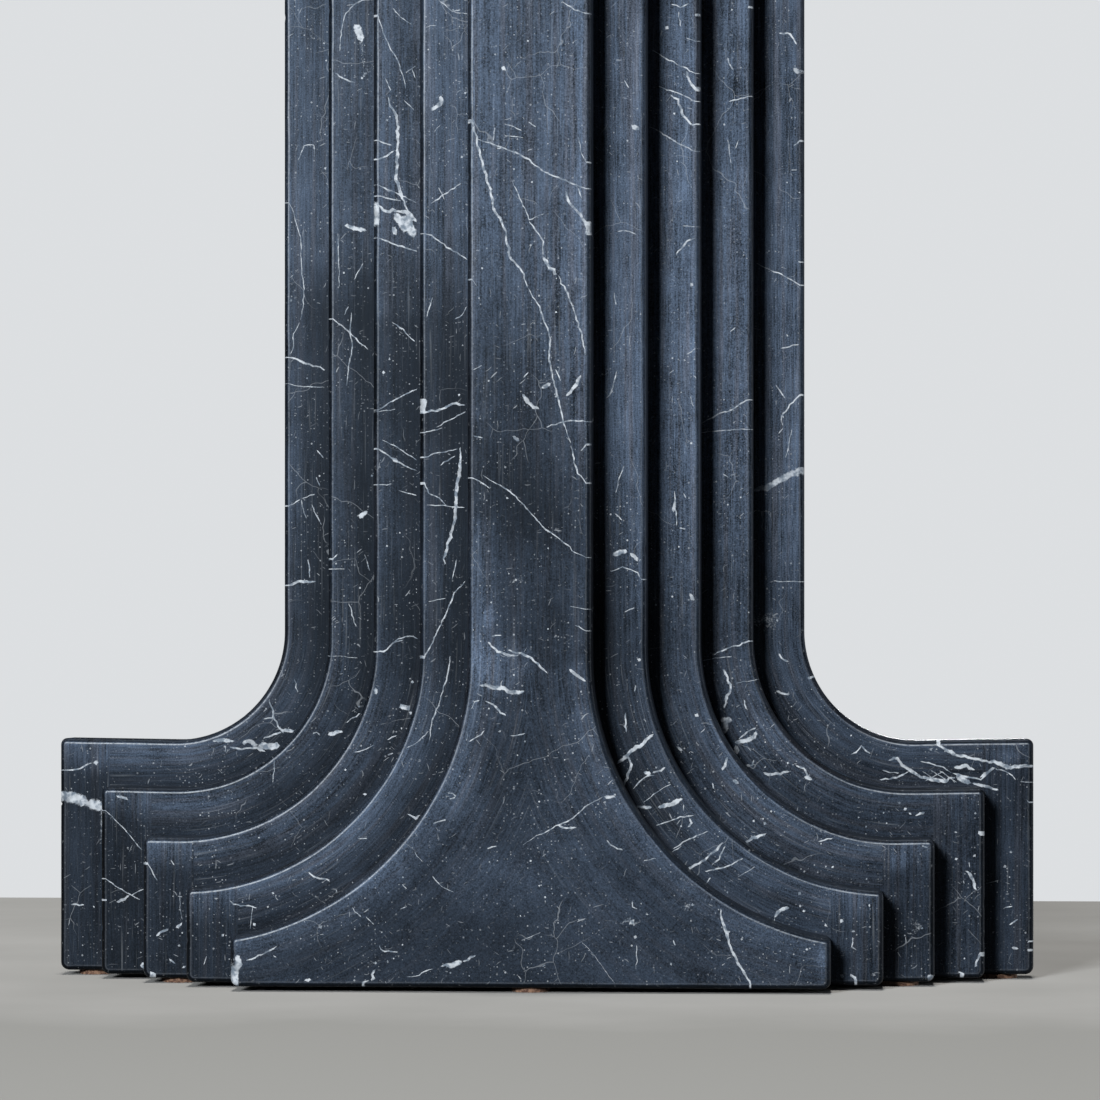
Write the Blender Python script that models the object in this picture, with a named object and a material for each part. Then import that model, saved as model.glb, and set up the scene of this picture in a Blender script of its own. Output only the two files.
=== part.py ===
"""Stepped marble column.

Nine upright marble slabs are laid face to face. Each is an upside-down T: a straight shaft, a round
sweep at each side and two low wings. The middle slab is the widest. Each slab in front of it and
behind it is narrower and lower than the last, so the column steps inwards. It stands on thin pads.
Lengths are in metres, +Z is up, the front faces -Y, and the origin is on the floor under the middle.
"""

import math

import bmesh
import bpy
from mathutils import Vector

# Driving dimensions
COLUMN_HEIGHT = 1.000
STEPS_EACH_WAY = 4
SLAB_THICKNESS = 0.030
MIDDLE_SHAFT_WIDTH = 0.310
OUTER_SHAFT_WIDTH = 0.070
WING_LENGTH = 0.135
MIDDLE_WING_HEIGHT = 0.138
OUTER_WING_HEIGHT = 0.026
MIDDLE_SWEEP_RADIUS = 0.065
OUTER_SWEEP_RADIUS = 0.161
WING_TOP_SLOPE = math.radians(0.9)

# Rounded edges: the arris runs round each face that shows, and the corners are those of the flat face
ARRIS_RADIUS = 0.0028
FOOT_CORNER_RADIUS = 0.0020
WING_CORNER_RADIUS = 0.0010

# Pads under the slabs
PAD_DIAMETER = 0.022
PAD_THICKNESS = 0.0025
PAD_END_INSET = 0.020

# Clearance between pieces that touch
JOINT_GAP = 0.0003

# Fineness of the faceted curves
SWEEP_SEGMENTS = 24
CORNER_SEGMENTS = 3
ARRIS_SEGMENTS = 2
PAD_SIDES = 24
SMOOTH_BELOW = math.radians(35)

# Worked out from the driving dimensions
SLAB_PITCH = SLAB_THICKNESS + JOINT_GAP
SLAB_BASE = PAD_THICKNESS + JOINT_GAP
SLAB_HEIGHT = COLUMN_HEIGHT - SLAB_BASE

# Finish
MARBLE_COLOUR = (0.042, 0.050, 0.062, 1.0)
MARBLE_ROUGHNESS = 0.38
PAD_COLOUR = (0.23, 0.13, 0.08, 1.0)
PAD_ROUGHNESS = 0.85


def between(middle, outer, step):
    """A size of the slab that is step places from the middle one, shared out evenly."""
    return middle + (outer - middle) * step / STEPS_EACH_WAY


def shaft_half(step):
    return between(MIDDLE_SHAFT_WIDTH, OUTER_SHAFT_WIDTH, step) / 2


def half_width(step):
    return shaft_half(step) + WING_LENGTH


def corner_arc(corner, towards_first, towards_last, radius):
    """Points of a round corner between two straight runs, from the first run to the last."""
    turn = towards_first.angle(towards_last)
    reach = radius / math.tan(turn / 2)
    bisector = (towards_first + towards_last).normalized()
    centre = corner + bisector * (radius / math.sin(turn / 2))
    start = corner + towards_first * reach - centre
    end = corner + towards_last * reach - centre
    swing = start.angle_signed(end)
    points = []
    for i in range(CORNER_SEGMENTS + 1):
        angle = -swing * i / CORNER_SEGMENTS
        turned = Vector((start.x * math.cos(angle) - start.y * math.sin(angle),
                         start.x * math.sin(angle) + start.y * math.cos(angle)))
        points.append(centre + turned)
    return points


def half_outline(step, inset):
    """Right half of a slab's outline in (x, z), from the foot up to the top, moved inwards by inset."""
    radius = between(MIDDLE_SWEEP_RADIUS, OUTER_SWEEP_RADIUS, step)
    wing_height = between(MIDDLE_WING_HEIGHT, OUTER_WING_HEIGHT, step)
    centre = Vector((shaft_half(step) + radius, wing_height + radius))
    swept = radius + inset
    end_x = half_width(step) - inset

    # The sweep runs until the wing's top is straight, or until the wing ends
    level_angle = math.pi / 2 + WING_TOP_SLOPE
    share = (centre.x - end_x) / swept
    end_angle = min(level_angle, math.acos(max(-1.0, share)))
    sweep_end = centre - swept * Vector((math.cos(end_angle), math.sin(end_angle)))
    slope = Vector((math.sin(end_angle), -math.cos(end_angle)))
    wing_tip = sweep_end + slope * ((end_x - sweep_end.x) / slope.x)

    rounding = ARRIS_RADIUS - inset
    foot = corner_arc(Vector((end_x, inset)), Vector((-1, 0)), Vector((0, 1)),
                      FOOT_CORNER_RADIUS + rounding)
    tip = corner_arc(wing_tip, Vector((0, -1)), -slope, WING_CORNER_RADIUS + rounding)

    # Where the wing ends within the sweep, the sweep starts at the round corner
    first_angle = end_angle
    if tip[-1].x < sweep_end.x:
        first_angle = math.acos((centre.x - tip[-1].x) / swept)
        tip.pop()
    sweep = []
    for i in range(SWEEP_SEGMENTS + 1):
        angle = first_angle * (1 - i / SWEEP_SEGMENTS)
        sweep.append(centre - swept * Vector((math.cos(angle), math.sin(angle))))
    top = Vector((shaft_half(step) - inset, SLAB_HEIGHT))
    return foot + tip + sweep + [top]


def outline(step, inset):
    """A slab's whole outline, from the top left corner round the foot to the top right corner."""
    right = half_outline(step, inset)
    left = [Vector((-p.x, p.y)) for p in reversed(right)]
    return left + right


def rim(step, start_depth, direction):
    """Rings of a rounded arris, from the flat face inwards, as pairs of depth and outline."""
    rings = []
    for i in range(ARRIS_SEGMENTS + 1):
        angle = math.pi / 2 * i / ARRIS_SEGMENTS
        depth = start_depth + direction * ARRIS_RADIUS * (1 - math.cos(angle))
        rings.append((depth, outline(step, ARRIS_RADIUS * (1 - math.sin(angle)))))
    return rings


def slab_mesh(name, step, facing):
    """One slab, centred on y = 0 with its foot at z = 0. Its face looks along facing, which is -1 for
    the front and 1 for the back, and the arris round that face is rounded. The middle slab shows at
    both sides of the column, so both its arrises are."""
    rings = rim(step, facing * SLAB_THICKNESS / 2, -facing)
    if step == 0:
        rings += reversed(rim(step, -facing * SLAB_THICKNESS / 2, facing))
    else:
        rings.append((-facing * SLAB_THICKNESS / 2, outline(step, 0)))

    bm = bmesh.new()
    loops = [[bm.verts.new((p.x, depth, p.y)) for p in points] for depth, points in rings]
    for near, far in zip(loops, loops[1:]):
        for i in range(len(near) - 1):
            bm.faces.new((near[i], near[i + 1], far[i + 1], far[i]))
    bm.faces.new(loops[0])
    bm.faces.new(loops[-1])
    bm.faces.new([loop[0] for loop in loops] + [loop[-1] for loop in reversed(loops)])
    bmesh.ops.recalc_face_normals(bm, faces=bm.faces)
    mesh = bpy.data.meshes.new(name)
    bm.to_mesh(mesh)
    bm.free()
    mesh.shade_smooth()
    mesh.set_sharp_from_angle(angle=SMOOTH_BELOW)
    return mesh


def pad_mesh(name):
    bm = bmesh.new()
    bmesh.ops.create_cone(bm, cap_ends=True, segments=PAD_SIDES, radius1=PAD_DIAMETER / 2,
                          radius2=PAD_DIAMETER / 2, depth=PAD_THICKNESS)
    mesh = bpy.data.meshes.new(name)
    bm.to_mesh(mesh)
    bm.free()
    mesh.shade_smooth()
    mesh.set_sharp_from_angle(angle=SMOOTH_BELOW)
    return mesh


def plain_material(name, colour, roughness):
    material = bpy.data.materials.new(name)
    material.use_nodes = True
    shader = material.node_tree.nodes["Principled BSDF"]
    shader.inputs["Base Color"].default_value = colour
    shader.inputs["Roughness"].default_value = roughness
    shader.inputs["Metallic"].default_value = 0.0
    return material


def add_object(name, mesh, location):
    thing = bpy.data.objects.new(name, mesh)
    thing.location = location
    bpy.context.scene.collection.objects.link(thing)
    return thing


def add_slab(name, step, facing):
    mesh = slab_mesh(name, step, facing)
    mesh.materials.append(plain_material(name.replace("slab", "marble"), MARBLE_COLOUR, MARBLE_ROUGHNESS))
    add_object(name, mesh, (0, facing * SLAB_PITCH * step, SLAB_BASE))


def add_slabs():
    add_slab("slab_middle", 0, -1)
    for step in range(1, STEPS_EACH_WAY + 1):
        add_slab(f"slab_front_{step}", step, -1)
        add_slab(f"slab_back_{step}", step, 1)


def add_pads():
    """Pads under the ends of the middle slab, under the ends of the slabs half way out, and under the
    middle of the outermost slabs."""
    mesh = pad_mesh("pad")
    mesh.materials.append(plain_material("cork", PAD_COLOUR, PAD_ROUGHNESS))
    half_way = STEPS_EACH_WAY // 2
    rows = (("middle", 0, 0), ("front", -1, half_way), ("back", 1, half_way))
    for row, facing, step in rows:
        y = facing * SLAB_PITCH * step
        x = half_width(step) - PAD_END_INSET
        add_object(f"pad_{row}_left", mesh, (-x, y, PAD_THICKNESS / 2))
        add_object(f"pad_{row}_right", mesh, (x, y, PAD_THICKNESS / 2))
    outer = SLAB_PITCH * STEPS_EACH_WAY
    add_object("pad_front_centre", mesh, (0, -outer, PAD_THICKNESS / 2))
    add_object("pad_back_centre", mesh, (0, outer, PAD_THICKNESS / 2))


def main():
    for thing in list(bpy.data.objects):
        bpy.data.objects.remove(thing, do_unlink=True)
    add_slabs()
    add_pads()


main()
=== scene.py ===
"""Looks of the stepped marble column.

Each slab is remade as a fine mesh that stands for its solid. It has the same outline with closer arcs,
slightly worn arrises, and white veins: each vein is a narrow strip of triangles cut into the face, with
a value that runs from 1 on its centre line to 0 at its edges, which the marble turns into stone colour.
Lengths are in metres in the frame of the solids. Places read off the photograph are pixels of its
1100 x 1100 frame, and the camera turns them into places on a slab's face.
"""

import math
import random

import bmesh
import bpy
import numpy as np
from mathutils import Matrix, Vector, noise
from mathutils.geometry import delaunay_2d_cdt, tessellate_polygon


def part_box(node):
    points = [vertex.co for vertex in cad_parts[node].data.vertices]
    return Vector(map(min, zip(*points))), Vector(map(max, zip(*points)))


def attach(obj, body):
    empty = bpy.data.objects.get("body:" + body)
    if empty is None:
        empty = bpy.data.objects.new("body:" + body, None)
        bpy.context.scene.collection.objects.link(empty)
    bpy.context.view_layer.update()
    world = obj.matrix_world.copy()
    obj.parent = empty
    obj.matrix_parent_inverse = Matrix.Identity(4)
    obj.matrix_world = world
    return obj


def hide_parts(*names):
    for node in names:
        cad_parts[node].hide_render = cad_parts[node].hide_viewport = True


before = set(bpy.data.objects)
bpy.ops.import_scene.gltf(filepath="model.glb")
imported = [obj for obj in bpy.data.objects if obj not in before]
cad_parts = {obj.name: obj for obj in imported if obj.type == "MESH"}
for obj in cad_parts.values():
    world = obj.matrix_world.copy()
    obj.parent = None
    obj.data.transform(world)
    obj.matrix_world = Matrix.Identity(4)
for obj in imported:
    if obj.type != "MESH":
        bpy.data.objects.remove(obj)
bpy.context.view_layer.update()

# The slabs, as in the solids
STEPS_EACH_WAY = 4
SLAB_THICKNESS = 0.030
JOINT_GAP = 0.0003
SLAB_PITCH = SLAB_THICKNESS + JOINT_GAP
MIDDLE_SHAFT_WIDTH = 0.310
OUTER_SHAFT_WIDTH = 0.070
WING_LENGTH = 0.135
MIDDLE_WING_HEIGHT = 0.138
OUTER_WING_HEIGHT = 0.026
MIDDLE_SWEEP_RADIUS = 0.065
OUTER_SWEEP_RADIUS = 0.161
WING_TOP_SLOPE = math.radians(0.9)
ARRIS_RADIUS = 0.0028
FOOT_CORNER_RADIUS = 0.0020
WING_CORNER_RADIUS = 0.0010
SLAB_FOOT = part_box("slab_middle")[0][2]
SLAB_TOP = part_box("slab_middle")[1][2]

# Fineness of the remade slabs
OUTLINE_SPACING = 0.0025
CORNER_SEGMENTS = 5
ARRIS_ANGLES = [math.radians(a) for a in (4, 10, 18, 28, 40, 55, 72, 90)]
WALL_DEPTHS = (0.008, 0.014, 0.020, 0.026)
SHARPEST = 0.0002
RIM_WIDTH = 0.0011
SMOOTH_BELOW = math.radians(35)

# A vein's points, how far its ends are drawn out, which vein is too short for that, and how uneven it is
VEIN_SPACING = 0.0022
END_REACH = 0.0004
END_SHARE = 0.35
SHORT_BELOW = 4
MOST_SWAY = 0.00035
SWAY_SHARE = 0.25
SWELL = 0.3
EVEN_ABOVE = 0.0020
HALF_SHARE = 0.85
LEAST_HALF = 0.00035

# Veins thinner than this are fainter
FIRM_WIDTH = 0.0013
FAINTEST = 0.45

# How strong the painted highlight along the arrises is: for those that look left, by their height, and for
# those on the right
LEFT_PAINTED_HIGHLIGHT = ((0.10, 0.36, 0.52), (0.06, 0.26, 0.62))
RIGHT_PAINTED_HIGHLIGHT = 0.8

# Wear of the arrises
ARRIS_WANDER = 0.14
WANDER_SCALE = 35
CHIP_DEPTH = 0.0007
CHIP_SHARE = 0.035

# How the veins carry on behind the arris: the patches that keep them, and how far they slant
KEEP_SCALE = 60
SLANT_SCALE = 25
WALL_SLANT = 8.0

# The camera of the photograph: a long lens, level, a little to the right of the column
PHOTO_SIZE = 1100
FOCAL_PIXELS = 4003
HORIZON_ROW = 676
CAMERA_PLACE = Vector((0.1557, -2.3904, 0.179))
CAMERA_TURN = math.radians(3.653)
SENSOR_WIDTH = 36.0


def add_camera():
    data = bpy.data.cameras.new("camera")
    data.sensor_width = SENSOR_WIDTH
    data.lens = FOCAL_PIXELS / PHOTO_SIZE * SENSOR_WIDTH
    data.shift_y = (HORIZON_ROW - PHOTO_SIZE / 2) / PHOTO_SIZE
    data.clip_end = 50
    camera = bpy.data.objects.new("camera", data)
    camera.location = CAMERA_PLACE
    camera.rotation_euler = (math.pi / 2, 0, CAMERA_TURN)
    bpy.context.scene.collection.objects.link(camera)
    bpy.context.scene.camera = camera


def face_depth(step):
    """y of the front face of the slab that is step places in front of the middle one."""
    return -SLAB_PITCH * step - SLAB_THICKNESS / 2


def pixel_size(step):
    """How large a pixel of the photograph is on a slab's front face."""
    return (face_depth(step) - CAMERA_PLACE.y) / FOCAL_PIXELS


def on_face(step, column, row):
    """The (x, z) on a slab's front face that the photograph shows at a pixel."""
    ahead = Vector((-math.sin(CAMERA_TURN), math.cos(CAMERA_TURN), 0))
    right = Vector((math.cos(CAMERA_TURN), math.sin(CAMERA_TURN), 0))
    ray = ahead + right * (column - PHOTO_SIZE / 2) / FOCAL_PIXELS
    ray.z = (HORIZON_ROW - row) / FOCAL_PIXELS
    point = CAMERA_PLACE + ray * ((face_depth(step) - CAMERA_PLACE.y) / ray.y)
    return point.x, point.z


def between(middle, outer, step):
    return middle + (outer - middle) * step / STEPS_EACH_WAY


def shaft_half(step):
    return between(MIDDLE_SHAFT_WIDTH, OUTER_SHAFT_WIDTH, step) / 2


def half_width(step):
    return shaft_half(step) + WING_LENGTH


def sweep_radius(step):
    return between(MIDDLE_SWEEP_RADIUS, OUTER_SWEEP_RADIUS, step)


def sweep_centre(step):
    radius = sweep_radius(step)
    height = between(MIDDLE_WING_HEIGHT, OUTER_WING_HEIGHT, step)
    return Vector((shaft_half(step) + radius, SLAB_FOOT + height + radius))


def corner_arc(corner, towards_first, towards_last, radius):
    """Points of a round corner between two straight runs, from the first run to the last."""
    turn = towards_first.angle(towards_last)
    bisector = (towards_first + towards_last).normalized()
    centre = corner + bisector * (radius / math.sin(turn / 2))
    start = corner + towards_first * (radius / math.tan(turn / 2)) - centre
    end = corner + towards_last * (radius / math.tan(turn / 2)) - centre
    swing = start.angle_signed(end)
    points = []
    for i in range(CORNER_SEGMENTS + 1):
        angle = -swing * i / CORNER_SEGMENTS
        turned = Vector((start.x * math.cos(angle) - start.y * math.sin(angle),
                         start.x * math.sin(angle) + start.y * math.cos(angle)))
        points.append(centre + turned)
    return points


def half_outline(step, inset):
    """Right half of a slab's outline in (x, z), from the foot up to the top, moved inwards by inset."""
    radius = sweep_radius(step)
    centre = sweep_centre(step)
    swept = radius + inset
    end_x = half_width(step) - inset
    share = (centre.x - end_x) / swept
    end_angle = min(math.pi / 2 + WING_TOP_SLOPE, math.acos(max(-1.0, share)))
    sweep_end = centre - swept * Vector((math.cos(end_angle), math.sin(end_angle)))
    slope = Vector((math.sin(end_angle), -math.cos(end_angle)))
    wing_tip = sweep_end + slope * ((end_x - sweep_end.x) / slope.x)

    foot_radius = max(FOOT_CORNER_RADIUS + ARRIS_RADIUS - inset, SHARPEST)
    tip_radius = max(WING_CORNER_RADIUS + ARRIS_RADIUS - inset, SHARPEST)
    foot = corner_arc(Vector((end_x, SLAB_FOOT + inset)), Vector((-1, 0)), Vector((0, 1)), foot_radius)
    tip = corner_arc(wing_tip, Vector((0, -1)), -slope, tip_radius)
    first_angle = end_angle
    if tip[-1].x < sweep_end.x:
        first_angle = math.acos((centre.x - tip[-1].x) / swept)
        tip.pop()
    count = math.ceil(first_angle * swept / OUTLINE_SPACING)
    sweep = []
    for i in range(count + 1):
        angle = first_angle * (1 - i / count)
        sweep.append(centre - swept * Vector((math.cos(angle), math.sin(angle))))
    top = corner_arc(Vector((shaft_half(step) - inset, SLAB_TOP - inset)), Vector((0, -1)),
                     Vector((-1, 0)), tip_radius)
    return foot + tip + sweep + top


def face_loop(step, inset):
    """A slab's outline moved inwards, as a closed anticlockwise loop in (x, z), evenly divided."""
    right = half_outline(step, inset)
    left = [Vector((-p.x, p.y)) for p in reversed(right)]
    corners = left + right
    points = []
    for a, b in zip(corners, corners[1:] + corners[:1]):
        count = max(1, math.ceil((b - a).length / OUTLINE_SPACING))
        points += [a.lerp(b, i / count) for i in range(count)]
    return np.array([tuple(p) for p in points])


def outward(loop):
    """Outward unit normals of a closed anticlockwise loop."""
    along = np.roll(loop, -1, axis=0) - np.roll(loop, 1, axis=0)
    normals = np.column_stack((along[:, 1], -along[:, 0]))
    return normals / np.linalg.norm(normals, axis=1)[:, None]


def inside(points, loop):
    """Which points lie inside a closed loop."""
    a = loop
    b = np.roll(loop, -1, axis=0)
    found = np.zeros(len(points), bool)
    for (ax, az), (bx, bz) in zip(a, b):
        if az == bz:
            continue
        crosses = (points[:, 1] < az) != (points[:, 1] < bz)
        at = ax + (points[:, 1] - az) * (bx - ax) / (bz - az)
        found ^= crosses & (points[:, 0] < at)
    return found


# Veins. Each stroke is a width in pixels and then its points, column and row by turns.
DRAWN_VEINS = {
    4: [
        # Shaft, the long vein down from the left edge and its branches
        (2.5, 469, 108, 479, 149, 484, 169, 490, 188, 494, 210, 501, 220, 506, 234, 509, 256, 521,
         271, 528, 288),
        (2, 528, 288, 539, 306, 547, 327, 550, 339, 549, 356, 553, 380, 559, 403, 566, 430, 571, 444),
        (1.6, 571, 444, 577, 473, 582, 477, 592, 491),
        (1.8, 477, 139, 493, 144, 517, 153, 528, 159, 540, 169, 554, 176, 573, 184, 593, 191),
        (3, 566, 191, 568, 203, 574, 207, 580, 215, 586, 223, 588, 239), (1.5, 577, 187, 583, 200),
        (1.2, 495, 126, 493, 142), (1.2, 495, 148, 506, 148), (1.5, 503, 123, 523, 131),
        (1.2, 503, 135, 525, 138), (1.2, 527, 121, 537, 128), (1.4, 511, 179, 518, 193, 529, 220, 545, 213),
        (1.8, 529, 220, 537, 232, 543, 241, 543, 256), (3.4, 543, 256, 549, 266, 557, 275),
        (1.8, 557, 274, 568, 294, 576, 315, 582, 337, 586, 356), (1.2, 578, 135, 581, 153, 590, 169),
        (1.5, 559, 0, 574, 9, 592, 16), (5, 500, 66, 507, 70), (1.2, 468, 272, 477, 287),
        (1.5, 483, 365, 473, 370), (4.2, 522, 394, 530, 404, 539, 409), (1.5, 529, 371, 523, 379),
        (4.2, 540, 389, 552, 382), (1.5, 555, 368, 561, 382), (3.5, 581, 375, 576, 386, 566, 396),
        (1.6, 545, 427, 566, 421, 586, 421, 592, 425), (1.5, 472, 435, 484, 438), (3.5, 511, 435, 521, 442),
        (1.5, 467, 473, 479, 481, 491, 489),
        (1.6, 481, 474, 508, 490, 522, 503, 533, 516, 545, 528, 561, 540, 574, 552, 592, 560),
        (2.4, 505, 496, 510, 499), (1.5, 490, 636, 503, 635), (1.5, 580, 452, 588, 442),
        (1.2, 568, 606, 590, 610), (1.2, 573, 625, 592, 633),
        # Shaft, below the middle
        (2.8, 487, 642, 496, 650, 504, 654, 514, 656, 519, 654),
        (2.2, 507, 650, 514, 652, 523, 654, 530, 658, 539, 665, 548, 674), (1, 523, 653, 528, 647),
        (4.6, 480, 685, 491, 686, 501, 688, 507, 691, 522, 693, 524, 691),
        (1.6, 470, 710, 475, 701, 480, 700), (2.2, 484, 701, 493, 705, 500, 711, 506, 716),
        (1.5, 468, 742, 479, 736, 486, 730), (2, 496, 732, 503, 730), (1.6, 509, 735, 517, 736, 526, 733),
        (1, 467, 730, 467, 742), (3, 523, 742, 527, 742), (2, 516, 755, 519, 755),
        (1, 521, 846, 536, 836, 550, 830), (1.6, 446, 792, 453, 793, 457, 797, 448, 799),
        (1.8, 432, 824, 447, 819), (3, 569, 669, 577, 675, 586, 681),
        (1.6, 540, 835, 556, 826, 570, 820, 583, 809, 589, 804, 604, 797),
        (2.8, 604, 797, 610, 797, 616, 798), (2.2, 557, 825, 565, 828, 577, 828),
        (1.6, 606, 839, 612, 846, 624, 851),
        # Foot
        (1.6, 486, 848, 498, 846), (3, 488, 862, 491, 862), (3.4, 543, 897, 547, 898),
        (1.2, 545, 898, 545, 905), (2.4, 551, 894, 554, 894), (1.3, 642, 862, 652, 859, 655, 857, 657, 861),
        (1.5, 632, 900, 633, 907, 639, 909), (1.5, 641, 901, 642, 906), (2, 644, 914, 650, 915),
        (7, 630, 920, 634, 924), (3.4, 632, 935, 636, 938, 639, 937), (1.3, 636, 944, 637, 957, 636, 971),
        (3, 691, 905, 694, 905), (1.5, 673, 939, 675, 947), (2.6, 671, 961, 672, 967),
        (2.8, 720, 908, 722, 920, 726, 934, 731, 949, 739, 963, 747, 977, 754, 990),
        (2, 726, 933, 732, 932), (0.9, 581, 941, 594, 955, 605, 971, 616, 985), (1.5, 542, 966, 547, 964),
        (5, 318, 923, 322, 931), (1.4, 351, 907, 362, 918), (1.2, 365, 915, 375, 926),
        (1.2, 399, 910, 408, 906), (2, 402, 875, 404, 879), (1.2, 401, 883, 408, 890),
        (1.2, 413, 851, 423, 863), (1.3, 431, 875, 442, 887, 455, 893), (2, 537, 872, 541, 874),
        (3.2, 401, 945, 404, 945), (1.6, 380, 944, 380, 949, 384, 951, 399, 952), (3.4, 374, 963, 377, 963),
        (2.6, 387, 958, 388, 965), (2, 393, 957, 394, 960), (2.4, 376, 969, 372, 974, 375, 980, 370, 980),
        (1.6, 361, 983, 369, 980), (2.2, 440, 967, 450, 964), (6.4, 446, 966, 456, 964, 463, 962),
        (2.4, 462, 961, 468, 959, 476, 955), (1.3, 405, 977, 418, 976, 428, 969, 435, 968),
        (2.5, 449, 973, 452, 973), (1.5, 467, 974, 471, 978), (1, 520, 941, 530, 937, 542, 932),
        (1.8, 541, 967, 545, 965), (3.5, 421, 984, 428, 985), (3.5, 303, 981, 313, 980),
        (6.5, 237, 956, 240, 963, 236, 971, 234, 979, 238, 983),
        (1.8, 245, 961, 256, 957, 267, 952, 278, 945), (1.4, 272, 955, 278, 958),
        (6, 814, 937, 820, 938, 827, 940), (3.5, 804, 949, 810, 949),
    ],
    3: [
        # Left of the shaft
        (1.3, 439, 0, 453, 12, 462, 9), (1.2, 453, 12, 469, 14), (1.2, 424, 27, 438, 25),
        (1.5, 437, 63, 442, 67), (4, 441, 96, 439, 105, 432, 111), (1.3, 433, 132, 441, 124),
        (1.5, 430, 204, 446, 193, 462, 182), (1.3, 438, 186, 445, 201),
        (1.6, 422, 234, 432, 235, 444, 245, 462, 256, 468, 261), (3, 463, 257, 466, 259),
        (1.4, 454, 320, 462, 315, 468, 306), (1.4, 433, 296, 426, 318), (4.5, 418, 396, 426, 402, 420, 415),
        (2.4, 422, 414, 446, 408, 454, 403, 466, 405), (1.4, 435, 428, 449, 420, 467, 411),
        (2.6, 457, 394, 461, 394), (1.4, 419, 447, 422, 433, 444, 428), (1.6, 419, 460, 435, 453, 459, 449),
        (1.6, 439, 466, 456, 455),
        (3.4, 461, 447, 460, 464, 457, 487, 456, 509, 453, 526, 447, 547, 444, 565),
        (1.3, 457, 558, 452, 582), (1.6, 419, 479, 425, 484, 429, 493, 439, 498, 446, 506),
        (1.4, 425, 505, 445, 506, 466, 508), (4, 418, 596, 414, 602, 411, 605),
        (1.6, 466, 580, 454, 594, 446, 614, 437, 631, 431, 645, 421, 664, 417, 670),
        (1.3, 427, 602, 447, 598),
        (1.6, 451, 655, 448, 672, 444, 688, 439, 704, 432, 721, 430, 732, 429, 742),
        (1.2, 430, 730, 418, 742, 405, 750), (2.4, 464, 727, 467, 727), (2, 459, 756, 467, 757),
        (2.4, 407, 814, 417, 819, 426, 811), (1.6, 423, 825, 432, 824), (1.5, 357, 839, 368, 838),
        # Right of the shaft
        (1.4, 624, 79, 629, 89), (6, 630, 125, 640, 130), (1.4, 616, 231, 626, 230, 638, 235),
        (1.4, 614, 291, 616, 306), (1.5, 617, 370, 614, 382, 610, 394, 605, 399), (3, 611, 390, 613, 392),
        (1.5, 624, 465, 619, 478, 615, 494), (1.3, 614, 513, 623, 521), (5, 611, 556, 620, 551, 629, 552),
        (4, 629, 552, 635, 557, 638, 563), (1.4, 638, 563, 642, 558),
        (1.4, 609, 573, 623, 567, 638, 573, 643, 582), (1.3, 623, 613, 635, 607), (4.6, 635, 658, 643, 661),
        (1.5, 636, 684, 635, 693), (2.2, 626, 712, 625, 724, 626, 733),
        (4.2, 618, 764, 626, 755, 642, 744, 653, 734),
        (3, 628, 756, 632, 766, 627, 775, 625, 787, 627, 795), (4.6, 642, 772, 652, 775),
        (2, 652, 774, 658, 771, 666, 767), (1.5, 632, 790, 639, 782, 648, 775, 656, 775),
        (3.4, 655, 766, 658, 769), (1.1, 642, 803, 652, 796, 663, 788, 672, 783),
        (3.4, 630, 809, 644, 807, 652, 807), (4.2, 658, 807, 672, 803, 683, 799), (1.5, 683, 803, 684, 812),
        (3, 636, 823, 645, 826), (1.6, 655, 826, 668, 822, 680, 817, 688, 816, 695, 815),
        (2.2, 689, 817, 691, 822, 687, 827), (3.4, 679, 826, 683, 827),
        (1.6, 672, 850, 683, 842, 696, 836, 709, 831),
        (2.6, 680, 874, 693, 866, 706, 859, 720, 846, 723, 842), (1.8, 711, 866, 719, 858, 725, 845),
        (1.8, 704, 871, 720, 869, 731, 865, 744, 858), (1.2, 663, 858, 674, 851, 683, 845),
        (1.3, 704, 887, 708, 880, 712, 877), (1, 736, 878, 757, 866), (1.6, 773, 923, 775, 917),
        (4, 775, 917, 778, 912, 784, 909, 789, 908), (2.5, 726, 892, 729, 892), (3.4, 800, 903, 800, 909),
        (3.4, 800, 912, 808, 911), (3, 825, 921, 826, 925, 829, 928), (5, 840, 919, 844, 922),
        (2.5, 799, 933, 802, 936), (2, 870, 902, 870, 909), (2.4, 850, 933, 857, 931),
        (1.6, 852, 936, 852, 947, 857, 951), (2.6, 850, 973, 855, 977, 856, 984), (4, 838, 974, 846, 978),
        (4, 797, 892, 802, 895),
        # Left wing
        (1.8, 308, 871, 313, 877, 321, 879, 329, 880), (3.4, 327, 880, 330, 880), (1.5, 335, 888, 338, 894),
        (2, 321, 891, 321, 895), (2.5, 336, 859, 339, 860), (1.6, 229, 900, 235, 905, 248, 906, 258, 908),
        (2.6, 266, 906, 270, 907), (1.2, 253, 906, 251, 921, 250, 931), (4, 252, 921, 256, 928),
        (3.6, 271, 892, 275, 894), (3.6, 221, 934, 224, 937), (1.2, 207, 955, 203, 966),
    ],
    2: [
        # Left of the shaft
        (1.4, 374, 5, 383, 32, 391, 49, 398, 61, 403, 76, 406, 90),
        (1.3, 391, 7, 397, 13, 402, 19, 413, 25), (1.3, 405, 73, 417, 65), (1.3, 412, 68, 416, 79),
        (1.3, 385, 77, 391, 92), (1.3, 403, 99, 415, 111),
        (3.2, 388, 97, 392, 108, 397, 118, 398, 128, 397, 144, 397, 161, 396, 177, 400, 189, 404,
         201, 408, 210),
        (1.8, 393, 146, 374, 139), (1.8, 395, 150, 386, 156, 374, 161), (1.6, 368, 194, 381, 197, 402, 201),
        (1.6, 376, 184, 402, 196, 417, 203), (4.6, 377, 201, 378, 215, 377, 227),
        (3, 379, 206, 386, 212, 393, 209, 401, 213), (4, 400, 212, 408, 211, 416, 222),
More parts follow.
